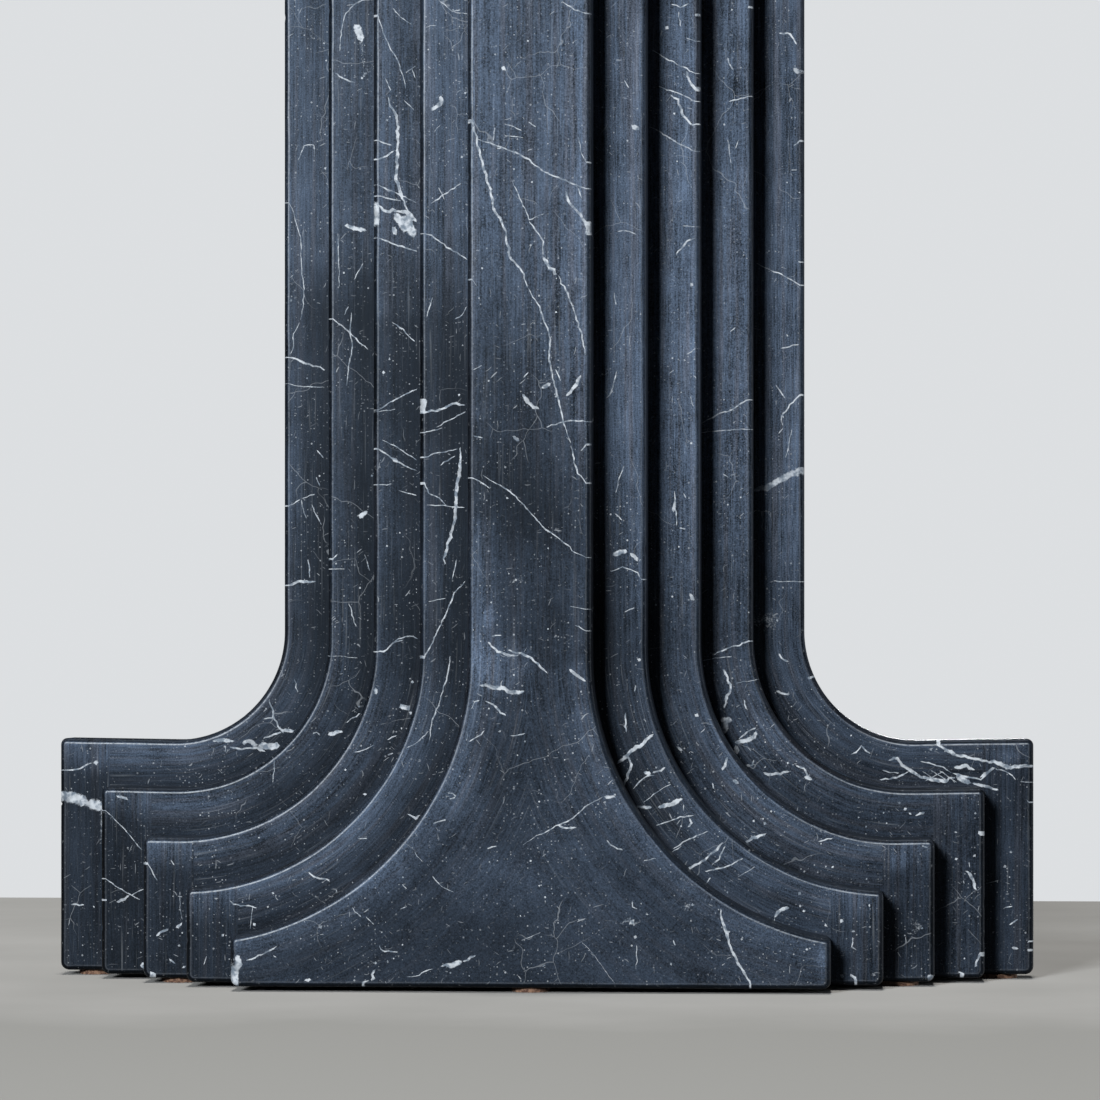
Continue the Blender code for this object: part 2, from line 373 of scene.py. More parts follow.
        (9, 394, 214, 402, 222, 404, 232), (7, 404, 216, 412, 226, 414, 238), (5, 391, 226, 398, 236),
        (1.8, 376, 237, 398, 245, 418, 252), (1.5, 391, 321, 403, 330, 416, 343), (3.4, 383, 369, 383, 376),
        (2.4, 388, 360, 391, 360), (1.5, 375, 412, 398, 398, 418, 388), (1.3, 376, 412, 397, 409),
        (1.7, 370, 443, 380, 450, 395, 460, 417, 471), (5, 393, 459, 397, 462),
        (1.4, 381, 439, 402, 450, 418, 461), (1.2, 369, 450, 369, 481), (1.2, 370, 485, 393, 484),
        (1.3, 397, 490, 418, 496), (1.6, 390, 645, 398, 639, 412, 636, 419, 639),
        (1.8, 372, 657, 376, 653, 386, 650, 392, 643, 404, 640), (4.6, 375, 686, 375, 691, 377, 696),
        (4.6, 410, 682, 415, 682), (6, 398, 708, 406, 706, 410, 711), (4.6, 408, 711, 414, 715),
        (2.4, 400, 727, 403, 727), (1.4, 386, 740, 398, 735), (1.8, 387, 755, 394, 753),
        (1.2, 353, 752, 364, 750, 375, 744), (3.4, 343, 771, 348, 770), (2.6, 361, 794, 369, 794),
        (1.8, 377, 791, 383, 788), (3, 338, 829, 343, 832), (2.2, 326, 798, 328, 799),
        # Left wing
        (3, 257, 838, 261, 837), (2, 283, 839, 287, 840), (1.5, 145, 858, 151, 869, 158, 882),
        (1.6, 170, 859, 175, 866), (2.8, 156, 936, 162, 932, 169, 929), (3.2, 174, 928, 180, 925, 183, 921),
        (2.6, 176, 946, 182, 947), (2, 169, 958, 176, 964), (2.6, 180, 969, 188, 965),
        (2.4, 144, 888, 147, 888), (1.1, 180, 890, 180, 910, 183, 921), (2.6, 150, 971, 160, 980),
        # Right of the shaft
        (1.6, 670, 4, 681, 7, 690, 3), (1.4, 678, 10, 681, 28), (4.5, 665, 26, 669, 29),
        (1.3, 685, 37, 698, 42), (4, 694, 14, 698, 17), (1.6, 650, 49, 669, 60, 683, 67, 699, 76),
        (2.8, 686, 71, 691, 84, 699, 94), (1.6, 657, 86, 678, 93, 698, 103),
        (2.4, 670, 94, 678, 100, 683, 114, 691, 125, 698, 123), (1.6, 649, 125, 674, 141, 698, 153),
        (1.4, 681, 226, 697, 227), (2, 696, 238, 685, 241, 683, 248, 676, 253, 678, 256),
        (4, 690, 282, 693, 287), (1.3, 685, 355, 697, 348), (1.3, 690, 394, 694, 408),
        (3.6, 690, 441, 693, 445), (1.6, 674, 490, 676, 511, 677, 527), (3.4, 673, 501, 674, 514),
        (1.6, 683, 492, 686, 499), (1.6, 679, 528, 686, 529), (4, 688, 592, 695, 602),
        (6, 694, 714, 699, 717), (2.6, 675, 746, 684, 751), (1.2, 699, 734, 706, 727),
        (2.6, 723, 771, 726, 761, 728, 757), (1.6, 712, 782, 714, 790), (4, 731, 779, 740, 784),
        (3, 752, 821, 755, 822), (4, 763, 821, 768, 824), (3, 742, 847, 752, 838, 766, 833),
        (2.8, 790, 809, 795, 812), (1.5, 817, 842, 834, 837),
        # Right wing
        (2, 825, 869, 828, 865), (3, 830, 869, 835, 865), (2.4, 865, 879, 868, 880),
        (3, 921, 928, 923, 929), (5, 929, 973, 930, 981), (1.8, 921, 845, 928, 848),
    ],
    1: [
        # Left of the shaft
        (8, 354, 24, 360, 34, 362, 42), (1.8, 334, 73, 345, 79, 356, 83),
        (4.6, 345, 226, 356, 228, 366, 231), (1.3, 338, 232, 339, 260, 339, 288),
        (1.6, 328, 316, 341, 325, 359, 342, 369, 351), (1.3, 364, 262, 353, 281), (1.3, 349, 305, 344, 316),
        (1.6, 351, 311, 350, 333, 353, 345, 348, 371, 346, 387), (4.6, 359, 520, 363, 514, 369, 510),
        (1.5, 327, 567, 338, 553), (1.3, 327, 569, 346, 569), (1.3, 364, 553, 370, 572),
        (1.5, 349, 602, 356, 628), (1.6, 312, 735, 316, 731, 321, 736), (3.8, 328, 735, 338, 732, 343, 732),
        (1.6, 345, 723, 354, 717, 361, 713), (2.2, 357, 707, 361, 706), (0.9, 326, 657, 340, 656, 359, 658),
        # Left wing
        (1.2, 274, 758, 274, 771, 273, 784), (2, 258, 793, 259, 796), (3, 116, 795, 124, 798, 128, 800),
        (1.2, 102, 807, 129, 834, 138, 846, 143, 851), (1.8, 137, 842, 138, 849),
        (1.4, 98, 873, 114, 885, 129, 894, 141, 900), (2, 104, 901, 108, 899),
        (2.4, 116, 902, 123, 899, 130, 896), (1.3, 130, 896, 145, 888), (2.6, 102, 912, 104, 917),
        (2.6, 141, 965, 145, 962), (3, 140, 965, 151, 972), (2.2, 199, 814, 202, 815),
        # Right of the shaft
        (1.6, 727, 57, 733, 71), (1.6, 728, 102, 753, 95), (1.2, 728, 138, 732, 172),
        (1.2, 739, 138, 735, 150), (1.3, 729, 333, 737, 327),
        (1.8, 701, 423, 719, 414, 729, 411, 745, 401, 753, 400), (1.3, 700, 433, 728, 430, 752, 429),
        (1.6, 722, 473, 729, 478), (2.4, 726, 504, 730, 505), (1.8, 712, 655, 730, 648, 752, 640),
        (1.2, 701, 661, 723, 657, 733, 656),
        (2.8, 722, 669, 727, 675, 729, 683, 730, 689, 726, 699, 724, 709),
        (6, 719, 720, 726, 720, 733, 721), (8, 724, 720, 724, 728, 721, 735),
        (1.8, 739, 739, 747, 732, 757, 727), (4.6, 735, 742, 742, 741, 750, 740, 755, 736, 756, 732),
        (5.6, 735, 744, 736, 749, 738, 755), (2.2, 745, 765, 752, 765, 754, 759), (1.6, 743, 699, 747, 710),
        (1, 734, 683, 757, 680), (2.8, 763, 772, 766, 774, 779, 774, 790, 772), (3.4, 761, 790, 768, 792),
        (2.8, 786, 762, 790, 763), (2.2, 795, 765, 804, 768, 809, 777), (3.4, 802, 776, 808, 778, 814, 781),
        (3.4, 898, 802, 901, 803), (5, 904, 806, 907, 812), (3.4, 907, 812, 913, 816),
        (2.2, 915, 816, 925, 812), (2.4, 882, 813, 885, 813), (2.4, 857, 817, 860, 818),
        (2.8, 865, 825, 868, 826), (2, 885, 823, 888, 824), (1.8, 952, 832, 959, 833),
        (3, 976, 811, 975, 816), (3.4, 978, 829, 981, 838),
        # Right wing
        (4, 955, 856, 957, 862), (2.6, 971, 857, 977, 853), (3, 965, 871, 970, 873, 973, 881, 977, 890),
        (1.4, 963, 879, 965, 885), (1.3, 969, 860, 971, 869), (2.2, 982, 951, 978, 959, 974, 967),
        (2.4, 963, 958, 966, 959), (3, 958, 972, 968, 977, 980, 979),
    ],
    0: [
        # Left of the shaft
        (1.3, 287, 200, 293, 210, 296, 223, 301, 239, 301, 266, 304, 288, 303, 308, 300, 321),
        (1.3, 300, 321, 293, 335, 293, 349, 290, 355), (2, 287, 356, 295, 359, 305, 363, 326, 370),
        (1.3, 287, 383, 302, 387, 325, 387), (1.3, 316, 449, 324, 459), (1.3, 301, 499, 285, 508),
        (1.3, 301, 499, 316, 493), (1.3, 301, 499, 306, 520), (1.3, 311, 503, 322, 526),
        (1.3, 316, 476, 320, 487), (2.6, 287, 586, 297, 582, 316, 581), (1.4, 308, 558, 310, 579),
        (1.2, 297, 162, 305, 145, 314, 144, 315, 159), (1.3, 294, 677, 298, 694),
        (2.2, 269, 700, 273, 712, 275, 720, 281, 729, 283, 734), (1.4, 262, 719, 267, 718, 274, 718),
        (4, 281, 729, 290, 732, 296, 730), (2, 282, 732, 272, 735, 263, 739),
        # Left wing
        (4, 213, 741, 224, 740, 234, 741), (5, 240, 743, 251, 742, 258, 745),
        (7.5, 258, 745, 266, 746, 281, 746), (2, 229, 746, 237, 749, 250, 749, 256, 748, 266, 752),
        (1.2, 226, 744, 225, 754), (1.8, 63, 770, 77, 770, 85, 765, 93, 763), (5, 93, 763, 99, 762),
        (12, 62, 797, 70, 797, 77, 799, 87, 803), (11, 87, 803, 94, 805, 103, 808), (2, 188, 782, 190, 783),
        (2, 203, 766, 206, 767), (1.6, 221, 762, 224, 760), (1.8, 70, 905, 76, 904, 85, 905),
        (2, 93, 904, 95, 909),
        # Right of the shaft
        (2, 778, 33, 791, 34, 797, 45), (5, 792, 67, 797, 71, 799, 75), (1.5, 793, 146, 805, 137),
        (1.5, 790, 170, 798, 170), (1.6, 755, 263, 781, 274, 793, 280, 805, 290), (1.4, 797, 260, 805, 264),
        (1.5, 779, 349, 800, 344), (1.5, 775, 384, 786, 399), (1.6, 805, 389, 790, 405, 781, 417, 783, 427),
        (7, 755, 491, 771, 485, 784, 477, 806, 466), (1.6, 778, 435, 784, 427), (1.4, 792, 428, 786, 459),
        (1.3, 772, 581, 805, 582), (2.2, 779, 653, 784, 661, 789, 662), (2.2, 776, 691, 785, 694, 790, 694),
        (2.8, 786, 693, 790, 694), (2.8, 806, 678, 812, 680), (1.7, 850, 755, 858, 751, 862, 744),
        (1.7, 862, 745, 866, 752, 871, 754), (2.4, 850, 734, 853, 736),
        # Right wing, the crossing veins
        (2.6, 929, 751, 932, 748), (3.4, 936, 744, 944, 749, 956, 755, 969, 757, 980, 760, 988, 762),
        (4.4, 988, 762, 1000, 764, 1009, 767, 1021, 766, 1031, 766), (3, 980, 777, 988, 772, 995, 768),
        (1.6, 995, 768, 1009, 773, 1016, 781), (2, 879, 779, 889, 779, 900, 776, 909, 771),
        (1.5, 881, 770, 891, 773, 900, 773), (3, 888, 760, 897, 758, 902, 764, 912, 772, 917, 775),
        (1.6, 919, 761, 931, 763, 943, 767, 952, 773), (1.8, 952, 773, 967, 777, 982, 779, 991, 770),
        (3.4, 907, 768, 919, 776, 930, 779, 944, 780, 955, 777), (5.4, 955, 777, 963, 780, 972, 783),
        (2.8, 972, 783, 985, 786, 999, 790), (3.4, 954, 768, 967, 765, 975, 770), (1.1, 921, 770, 940, 783),
        (1.1, 929, 769, 950, 782), (1.1, 924, 781, 944, 771), (1.1, 938, 770, 958, 783),
        (1.6, 1026, 799, 1031, 807), (1.2, 1019, 781, 1031, 783),
        # Right wing's end
        (4, 1004, 864, 1006, 869), (2.8, 1009, 852, 1013, 852), (1.6, 1004, 907, 1014, 906),
        (1.6, 1008, 925, 1019, 919), (3.6, 1010, 947, 1020, 949), (1.5, 1027, 943, 1033, 938),
        (2.8, 1027, 949, 1030, 950), (1, 984, 884, 1000, 880),
    ],
}

# Small single spots, as column and row
SPOT_SIZE = 2.6
DRAWN_SPOTS = {
    0: [(324, 43), (326, 60), (325, 134), (325, 168), (291, 300), (307, 378), (787, 182), (788, 337),
        (777, 620)],
    1: [(362, 78), (372, 476), (732, 10), (749, 7), (741, 421)],
    2: [(375, 508), (400, 533), (387, 546), (390, 117), (387, 120), (389, 191), (674, 113), (677, 161),
        (685, 361), (670, 447), (679, 547)],
    3: [(462, 56), (459, 83), (465, 93), (462, 157), (448, 161)],
    4: [(496, 46), (495, 54), (532, 182), (528, 41), (482, 268), (479, 298), (518, 286), (509, 574),
        (516, 580), (491, 602), (543, 454), (548, 548), (548, 629), (521, 917), (804, 961)],
}

# Veins that the photograph doesn't show grow at random on the upper shaft and at the back
PHOTO_TOP = on_face(4, 0, 0)[1]
GROWN_PER_SQUARE_METRE = 1500
GROWN_WIDTHS = (0.5, 0.7, 0.8, 0.9, 1.0, 1.3, 1.8, 2.6)
GROWN_LENGTHS = (0.004, 0.006, 0.010, 0.016, 0.025, 0.040, 0.070)


def drawn_strokes(step):
    """The veins read off the photograph, as widths and lists of (x, z)."""
    pixel = pixel_size(step)
    strokes = []
    for width, *places in DRAWN_VEINS[step]:
        points = [on_face(step, column, row) for column, row in zip(places[::2], places[1::2])]
        strokes.append((width * pixel, points))
    for column, row in DRAWN_SPOTS[step]:
        ends = [on_face(step, column + side, row - side / 2) for side in (-SPOT_SIZE / 2, SPOT_SIZE / 2)]
        strokes.append((SPOT_SIZE * pixel, ends))
    return strokes


def grown_strokes(step, lowest, seed):
    """Random veins on a slab's face above a height, as widths and lists of (x, z)."""
    rng = random.Random(seed)
    strokes = []
    reach = half_width(step)
    for _ in range(round(GROWN_PER_SQUARE_METRE * 2 * reach * (SLAB_TOP - lowest))):
        x = rng.uniform(-reach, reach)
        z = rng.uniform(lowest, SLAB_TOP)
        heading = rng.choice((0.5, 2.4, 2.0)) + rng.gauss(0, 0.5)
        length = rng.choice(GROWN_LENGTHS)
        width = rng.choice(GROWN_WIDTHS) * 0.001 * (1 if length > 0.01 else 1.6)
        points = [(x, z)]
        while length > 0:
            stride = min(length, rng.uniform(0.003, 0.009))
            length -= stride + 0.0005
            heading += rng.gauss(0, 0.35)
            x += stride * math.cos(heading)
            z += stride * math.sin(heading)
            points.append((x, z))
        strokes.append((width, points))
    return strokes


def ribbon(width, places, rng):
    """A vein's centre line, evenly divided and slightly uneven, with its half width and its normal at each
    point, and how firm it is."""
    places = np.array(places)
    short = np.linalg.norm(np.diff(places, axis=0), axis=1).sum() <= SHORT_BELOW * width
    if not short:
        for end, inner in ((0, 1), (-1, -2)):
            run = places[end] - places[inner]
            places[end] += run / np.linalg.norm(run) * (END_REACH + END_SHARE * width)
    lengths = np.linalg.norm(np.diff(places, axis=0), axis=1)
    along = np.concatenate(([0], np.cumsum(lengths)))
    count = max(3, round(along[-1] / VEIN_SPACING) + 1)
    at = np.linspace(0, along[-1], count)
    line = np.column_stack([np.interp(at, along, places[:, i]) for i in (0, 1)])
    tangent = np.gradient(line, axis=0)
    tangent /= np.linalg.norm(tangent, axis=1)[:, None]
    normal = np.column_stack((-tangent[:, 1], tangent[:, 0]))
    sway = np.array([rng.gauss(0, 1) for _ in range(count)])
    sway[0] = sway[-1] = 0
    line += normal * (sway * min(MOST_SWAY, width * SWAY_SHARE))[:, None]
    uneven = SWELL * min(1, EVEN_ABOVE / width)
    swell = np.array([rng.uniform(1 - uneven, 1 + uneven) for _ in range(count)])
    share = np.linspace(0, 1, count)
    taper = np.minimum(1, 0.35 + 3 * np.minimum(share, 1 - share) + (0.5 if short else 0))
    half = np.maximum(LEAST_HALF, HALF_SHARE * width * swell * taper)
    firm = min(1, FAINTEST + (1 - FAINTEST) * width / FIRM_WIDTH)
    return line, half, normal, firm


def vein_strength(points, ribbons):
    """1 on the centre line of a vein, falling to 0 at its edges and its ends."""
    strength = np.zeros(len(points))
    for line, half, _, firm in ribbons:
        margin = half.max()
        low = line.min(axis=0) - margin
        high = line.max(axis=0) + margin
        near = np.nonzero(((points > low) & (points < high)).all(axis=1))[0]
        if len(near) == 0:
            continue
        place = points[near]
        best = strength[near]
        peak = np.full(len(line), firm)
        peak[0] = peak[-1] = 0
        for a, b, half_a, half_b, peak_a, peak_b in zip(line, line[1:], half, half[1:], peak, peak[1:]):
            run = b - a
            share = np.clip(((place - a) @ run) / max(run @ run, 1e-12), 0, 1)
            away = np.linalg.norm(place - a - share[:, None] * run, axis=1)
            fall = 1 - away / (half_a + (half_b - half_a) * share)
            best = np.maximum(best, fall * (peak_a + (peak_b - peak_a) * share))
        strength[near] = best
    return strength


def nearness(points, loop, rim_loop):
    """1 on a face's edge loop, falling to 0 at its rim loop."""
    found = np.zeros(len(points))
    near = np.nonzero(~inside(points, rim_loop))[0]
    ends = np.roll(loop, -1, axis=0)
    runs = ends - loop
    squares = (runs ** 2).sum(axis=1)
    for i in near:
        apart = points[i] - loop
        share = np.clip((apart * runs).sum(axis=1) / squares, 0, 1)
        away = np.linalg.norm(apart - share[:, None] * runs, axis=1).min()
        found[i] = max(0, 1 - away / RIM_WIDTH)
    return found


def cut_face(loop, rim_loop, ribbons):
    """Triangles of a flat face with its rim and the veins' edges in it, and the order of its edge."""
    corners = []
    edges = []
    for ring in (loop, rim_loop):
        first = len(corners)
        corners += [tuple(p) for p in ring * 1000]
        edges += [(first + i, first + (i + 1) % len(ring)) for i in range(len(ring))]
    for line, half, normal, _ in ribbons:
        first = len(corners)
        count = len(line)
        corners += [tuple(p) for p in line * 1000]
        edges += [(first + i, first + i + 1) for i in range(count - 1)]
        for side in (-1, 1):
            start = len(corners)
            flank = line + side * normal * half[:, None]
            corners += [tuple(p) for p in flank[1:-1] * 1000]
            chain = [first] + list(range(start, len(corners))) + [first + count - 1]
            edges += list(zip(chain, chain[1:]))
    points, _, triangles, *_ = delaunay_2d_cdt([Vector(p) for p in corners], edges, [], 0, 1e-4, False)
    points = np.array([tuple(p) for p in points]) / 1000
    triangles = np.array(triangles)
    triangles = triangles[inside(points[triangles].mean(axis=1), loop)]

    # The edges with one triangle make the loop
    following = {}
    counts = {}
    for a, b, c in triangles.tolist():
        for edge in ((a, b), (b, c), (c, a)):
            counts[tuple(sorted(edge))] = counts.get(tuple(sorted(edge)), 0) + 1
    for a, b, c in triangles.tolist():
        for edge in ((a, b), (b, c), (c, a)):
            if counts[tuple(sorted(edge))] == 1:
                following[edge[0]] = edge[1]
    order = [next(iter(following))]
    while following[order[-1]] != order[0] and len(order) < len(following):
        order.append(following[order[-1]])
    if len(order) != len(following):
        raise ValueError("the face's edge isn't one loop")
    used = np.unique(triangles)
    renumber = np.full(len(points), -1)
    renumber[used] = np.arange(len(used))
    return points[used], renumber[triangles], renumber[order]


def noise_along(edge, scale, offset):
    """Smooth chance numbers, from -1 to 1, for the points of a face's edge."""
    return np.array([noise.noise(Vector((x * scale, z * scale, offset))) for x, z in edge])


def caught_light(edge, normals):
    """How much painted highlight the face's edge gets where it looks up and left. Where it looks right, it
    is below 0, and the marble paints shade there."""
    leftward = -normals[:, 0]
    catches = np.where(leftward > 0, leftward * np.interp(edge[:, 1], *LEFT_PAINTED_HIGHLIGHT), leftward)
    catches += np.maximum(normals[:, 1], 0)
    return catches * np.where((edge[:, 0] > 0) & (catches > 0), RIGHT_PAINTED_HIGHLIGHT, 1)


def slab_piece(name, step, facing, strokes, seed):
    """The fine mesh of a slab. Its face looks along facing, -1 for the front and 1 for the back."""
    rng = random.Random(seed)
    loop = face_loop(step, ARRIS_RADIUS)
    rim_loop = face_loop(step, ARRIS_RADIUS + RIM_WIDTH)
    ribbons = [ribbon(width, places, rng) for width, places in strokes]
    flat, triangles, order = cut_face(loop, rim_loop, ribbons)
    strength = vein_strength(flat, ribbons)
    rim = nearness(flat, loop, rim_loop)
    rim[order] = 1
    edge = flat[order]
    normals = outward(edge)

    # Rings over the arris and along the wall, as a push outwards and a depth behind the face
    count = len(edge)
    wander = noise_along(edge, WANDER_SCALE, step * 7.7 + facing)
    radius = ARRIS_RADIUS * (1 + ARRIS_WANDER * wander)
    edge_start = edge + normals * (ARRIS_RADIUS - radius)[:, None]
    chips = np.array([rng.random() ** 2 if rng.random() < CHIP_SHARE else 0 for _ in range(count)])
    chips *= CHIP_DEPTH
    rings = []
    for angle in ARRIS_ANGLES:
        push = radius * math.sin(angle) - chips * math.sin(angle) ** 2
        depth = radius * (1 - math.cos(angle)) + chips * 0.5 * math.sin(2 * angle)
        rings.append((edge_start + normals * push[:, None], depth, angle / (math.pi / 2)))
    wall = edge_start + normals * radius[:, None]
    for depth in WALL_DEPTHS:
        rings.append((wall, np.full(count, depth), 1.0))

    flat[order] = edge_start
    front = facing * (SLAB_PITCH * step + SLAB_THICKNESS / 2)
    back = front - facing * SLAB_THICKNESS
    vertices = [np.column_stack((flat[:, 0], np.full(len(flat), front), flat[:, 1]))]
    veins = [strength]
    arris = [np.zeros(len(flat))]
    # How much painted highlight, or painted shade below 0, each point of the face's edge gets
    catches = caught_light(edge, normals)
    lit = [np.zeros(len(flat))]
    lit[0][order] = catches
    rims = [rim]
    faces = [tuple(t) for t in triangles]
    ring_first = [len(flat)]
    previous = order

    # Behind the arris, about half of the veins carry on, each at a slant of its own
    keep = np.clip(noise_along(edge, KEEP_SCALE, 3.1 + step) * 5 - 0.2, 0, 1)
    slant = noise_along(edge, SLANT_SCALE, 9.4 - step) * WALL_SLANT

    def add_ring(places, y, worn, behind=0):
        nonlocal previous
        start = sum(len(v) for v in vertices)
        vertices.append(np.column_stack((places[:, 0], y, places[:, 1])))
        sources = (np.arange(count) + np.rint(slant * behind).astype(int)) % count
        veins.append((strength[order] * (keep if behind else 1))[sources])
        arris.append(np.full(count, worn))
        lit.append(catches)
        rims.append(np.ones(count))
        ring = np.arange(start, start + count)
        following = np.roll(ring, -1)
        before = np.roll(previous, -1)
        faces.extend(zip(previous, ring, following, before))
        previous = ring

    for i, (places, depth, worn) in enumerate(rings):
        add_ring(places, front - facing * depth, worn, max(0, i + 1 - len(ARRIS_ANGLES)))
    if step == 0:
        for places, depth, worn in reversed(rings[:len(ARRIS_ANGLES)]):
            add_ring(places, back + facing * depth, worn)
        start = sum(len(v) for v in vertices)
        inner = np.setdiff1d(np.arange(len(flat)), order)
        twin = np.full(len(flat), -1)
        twin[order] = np.arange(start, start + count)
        twin[inner] = np.arange(start + count, start + len(flat))
        add_ring(edge_start, np.full(count, back), 0.0)
        vertices.append(np.column_stack((flat[inner, 0], np.full(len(inner), back), flat[inner, 1])))
        veins.append(strength[inner])
        arris.append(np.zeros(len(inner)))
        lit.append(np.zeros(len(inner)))
        rims.append(rim[inner])
        faces += [tuple(t[::-1]) for t in twin[triangles]]
    else:
        add_ring(wall, np.full(count, back), 1.0, len(WALL_DEPTHS) + 1)
        lid = tessellate_polygon([[Vector((x, z, 0)) for x, z in wall]])
        faces += [tuple(previous[i] for i in t) for t in lid]

    mesh = bpy.data.meshes.new(name)
    mesh.from_pydata(np.concatenate(vertices).tolist(), [], [tuple(int(i) for i in f) for f in faces])
    mesh.validate()
    for label, values in (("vein", veins), ("arris", arris), ("lit", lit), ("rim", rims)):
        attribute = mesh.attributes.new(label, "FLOAT", "POINT")
        attribute.data.foreach_set("value", np.concatenate(values).astype(np.float32))
    orient(mesh)
    keep_faces_flat(mesh, (front, back) if step == 0 else (front,))
    piece = bpy.data.objects.new(name, mesh)
    bpy.context.scene.collection.objects.link(piece)
    return piece


def orient(mesh):
    bm = bmesh.new()
    bm.from_mesh(mesh)
    bmesh.ops.recalc_face_normals(bm, faces=bm.faces)
    bm.to_mesh(mesh)
    bm.free()


def keep_faces_flat(mesh, levels):
    """Smooth shading over the arrises, and a flat face that they don't pull on."""
    mesh.shade_smooth()
    mesh.set_sharp_from_angle(angle=SMOOTH_BELOW)
    custom = [(0.0, 0.0, 0.0)] * len(mesh.loops)
    for polygon in mesh.polygons:
        if abs(polygon.normal.y) > 0.99999 and any(abs(polygon.center.y - y) < 1e-6 for y in levels):
            for i in polygon.loop_indices:
                custom[i] = tuple(polygon.normal)
    mesh.normals_split_custom_set(custom)


class Value:
    """A socket of a node tree. Sums, products and the like of its numbers make maths nodes."""

    def __init__(self, graph, socket):
        self.graph = graph
        self.socket = socket

    def __add__(self, other):
        return self.graph.math("ADD", self, other)

    def __sub__(self, other):
        return self.graph.math("SUBTRACT", self, other)

    def __rsub__(self, other):
        return self.graph.math("SUBTRACT", other, self)

    def __mul__(self, other):
        return self.graph.math("MULTIPLY", self, other)

    def __truediv__(self, other):
        return self.graph.math("DIVIDE", self, other)

    def __pow__(self, power):
        return self.graph.math("POWER", self, power)

    def __abs__(self):
        return self.graph.math("ABSOLUTE", self)


class Graph:
    """A material, and short ways to build its node tree. Inputs are plain values or Values."""

    def __init__(self, name):
        self.material = bpy.data.materials.new(name)
        self.material.use_nodes = True
        self.tree = self.material.node_tree

    def feed(self, socket, value):
        if isinstance(value, Value):
            self.tree.links.new(value.socket, socket)
        else:
            socket.default_value = value

    def node(self, kind, inputs=(), **settings):
        """Adds a node and returns all its outputs."""
        node = self.tree.nodes.new(kind)
        for key, value in settings.items():
            setattr(node, key, value)
        for key, value in dict(inputs).items():
            self.feed(node.inputs[key], value)
        return node.outputs

    def value(self, kind, inputs=(), output=0, **settings):
        """Adds a node and returns one of its outputs as a Value."""
        return Value(self, self.node(kind, inputs, **settings)[output])

    def place(self):
        return self.value("ShaderNodeTexCoord", output="Object")

    def split(self, vector):
        return [Value(self, axis) for axis in self.node("ShaderNodeSeparateXYZ", {"Vector": vector})]

    def vector(self, x, y, z):
        return self.value("ShaderNodeCombineXYZ", {"X": x, "Y": y, "Z": z})

    def math(self, operation, *numbers):
        return self.value("ShaderNodeMath", enumerate(numbers), operation=operation)

    def vector_math(self, operation, a, b):
        return self.value("ShaderNodeVectorMath", {0: a, 1: b}, operation=operation)

    def largest(self, first, *others):
        for other in others:
            first = self.math("MAXIMUM", first, other)
        return first

    def clamp(self, number, least, most):
        return self.math("MINIMUM", self.math("MAXIMUM", number, least), most)

    def noise(self, vector, scale, detail=2.0, roughness=0.5):
        inputs = {"Vector": vector, "Scale": scale, "Detail": detail, "Roughness": roughness}
        return self.value("ShaderNodeTexNoise", inputs)

    def ramp(self, number, low, high, to_low=0.0, to_high=1.0):
        """Runs smoothly from to_low, where the number is low, to to_high, where it is high."""
        inputs = {"Value": number, "From Min": low, "From Max": high, "To Min": to_low, "To Max": to_high}
        return self.value("ShaderNodeMapRange", inputs, interpolation_type="SMOOTHSTEP")

    def mix(self, share, a, b):
        return self.value("ShaderNodeMix", {0: share, 6: a, 7: b}, 2, data_type="RGBA")

    def cells(self, vector, scale):
        """A cell pattern's distance to the middle of a cell, and two chance numbers of each cell."""
        outputs = self.node("ShaderNodeTexVoronoi", {"Vector": vector, "Scale": scale},
                            voronoi_dimensions="2D")
        chances = self.node("ShaderNodeSeparateColor", {"Color": Value(self, outputs["Color"])})
        return Value(self, outputs["Distance"]), Value(self, chances[0]), Value(self, chances[1])

    def shade(self, inputs):
        """Gives the material's shader its inputs."""
        shader = self.tree.nodes["Principled BSDF"]
        for name, value in inputs.items():
            self.feed(shader.inputs[name], value)


# Colours of the marble, from its haze to its veins
BLACK = (0.0, 0.0, 0.0, 1)
STONE = (0.74, 1.0, 1.45, 1)
WARM_STONE = (1.02, 1.0, 1.14, 1)
GREY_VEIN = (0.26, 0.31, 0.37, 1)
WHITE_VEIN = (0.86, 0.90, 0.94, 1)
SHEEN = (0.62, 0.78, 1.0, 1)
SHEEN_LEVEL = 0.15
MARBLE_ROUGHNESS = 0.45
STREAK_ROUGHNESS = 0.10

# Haze is the share of the stone's colour that shows. It is high on the shaft and low on the base, where it
# has a share for each slab from the middle one to the front one, and it differs from left to right
HIGH_HAZE = 0.108
LOW_HAZE = (0.015, 0.040)
LEAST_HAZE = 0.004
FOOT_HEIGHTS = (0.22, 0.13)
FOOT_HAZE = (0.033, 0.033, 0.040, 0.038, 0.020)
SIDE_HAZE = ((0.74, 0.90), (0.56, 1.0), (0.70, 1.0), (0.78, 1.0), (0.93, 1.0))
HAZE_DRIFT = 0.20

# Where the high haze starts and where it is full: the height on the axis, its change for each metre to the
# right, the least and the most, and last a shift for each slab
HAZE_START = (0.27, -2.1, 0.05, 0.37)
HAZE_FULL = (0.43, -1.0, 0.34, 0.46)
RISE_SHIFT = (-0.006, -0.025, 0.012, 0.025, 0.0)

# How far in from the outline the painted highlight of the rounded edges reaches, from where to where
WIDE_RIM_HIGHLIGHT = (0.024, 0.002)
NARROW_RIM_HIGHLIGHT = (0.005, 0.001)

